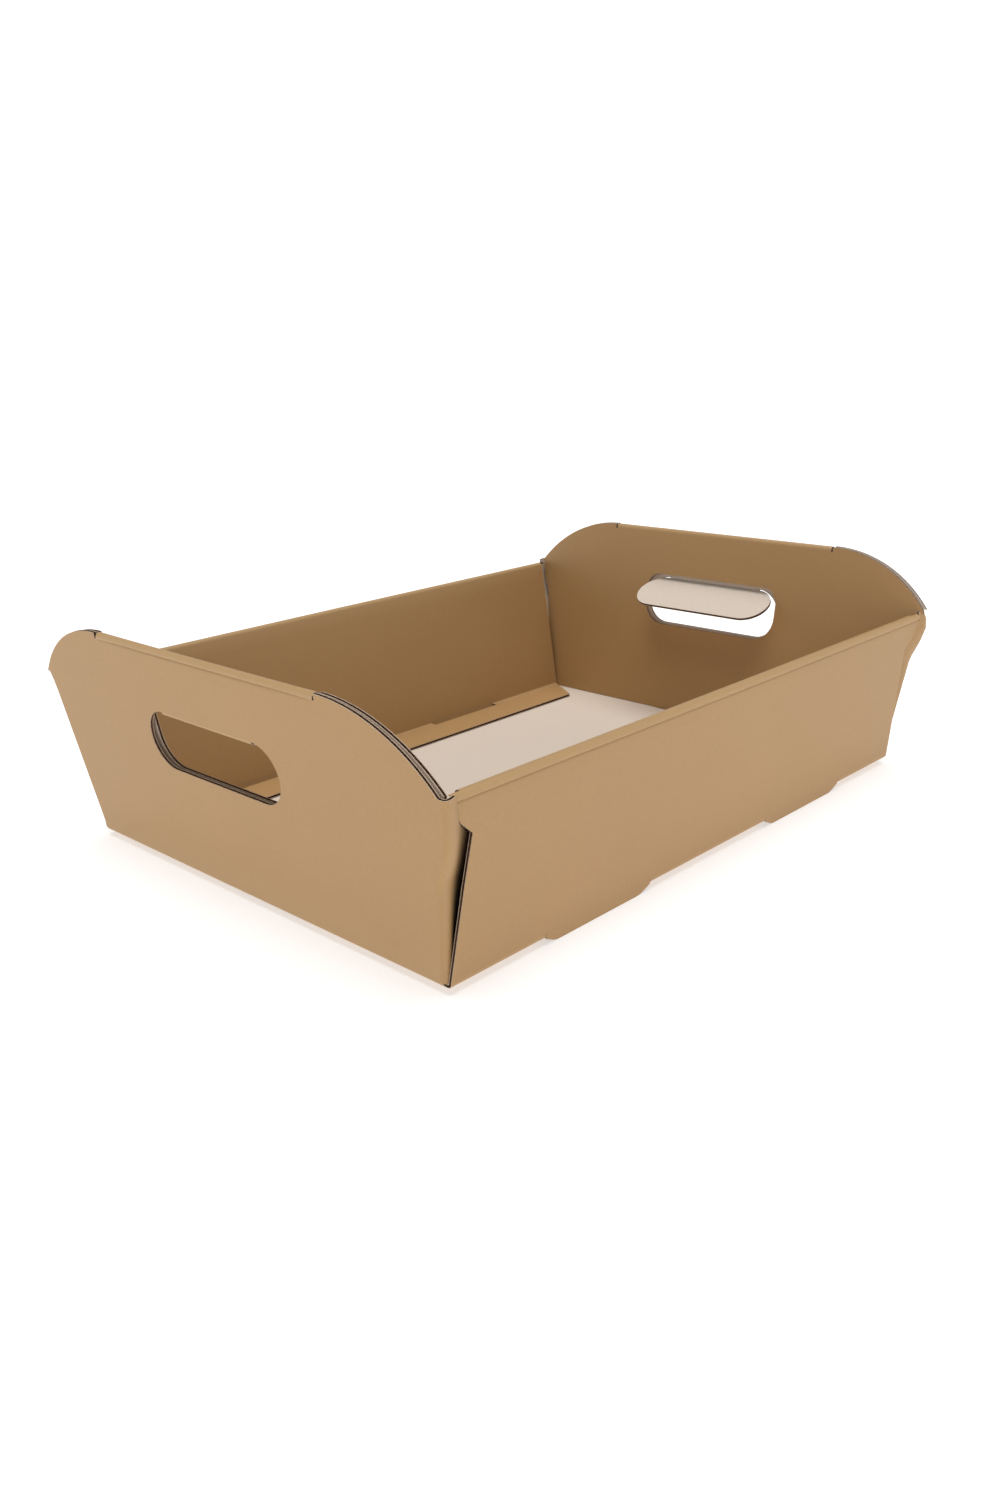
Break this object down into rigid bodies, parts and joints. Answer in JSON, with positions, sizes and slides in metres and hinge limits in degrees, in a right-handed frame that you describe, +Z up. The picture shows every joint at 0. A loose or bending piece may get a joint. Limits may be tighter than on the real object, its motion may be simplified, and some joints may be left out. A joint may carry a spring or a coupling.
{
  "type": "cardboard tray box",
  "caption": "Open rectangular tray folded from fluted card, with double walls, raised rounded ends and hand holes whose flaps swing inwards.",
  "frame": {"origin": "middle of the tray in plan, on the surface that its feet stand on", "axes": "+X along the tray to the far end, +Y across it to the back long side, +Z up"},
  "size_m": [0.3836, 0.2888, 0.1177],
  "materials": {
    "board": "coated gold-brown print outside, white liner inside, satin"
  },
  "bodies": {
    "tray_body": {"tray": "board"},
    "near_flap": {"near_hand_flap": "board"},
    "far_flap": {"far_hand_flap": "board"}
  },
  "joints": [
    {"name": "near_flap_fold", "type": "hinge", "parent": "tray_body", "child": "near_flap", "pos_m": [-0.18569, 0.003, 0.08694], "axis": [0, -1, 0], "range_deg": [-80, 25]},
    {"name": "far_flap_fold", "type": "hinge", "parent": "tray_body", "child": "far_flap", "pos_m": [0.18569, 0.001, 0.08694], "axis": [0, 1, 0], "range_deg": [-55, 50]}
  ]
}
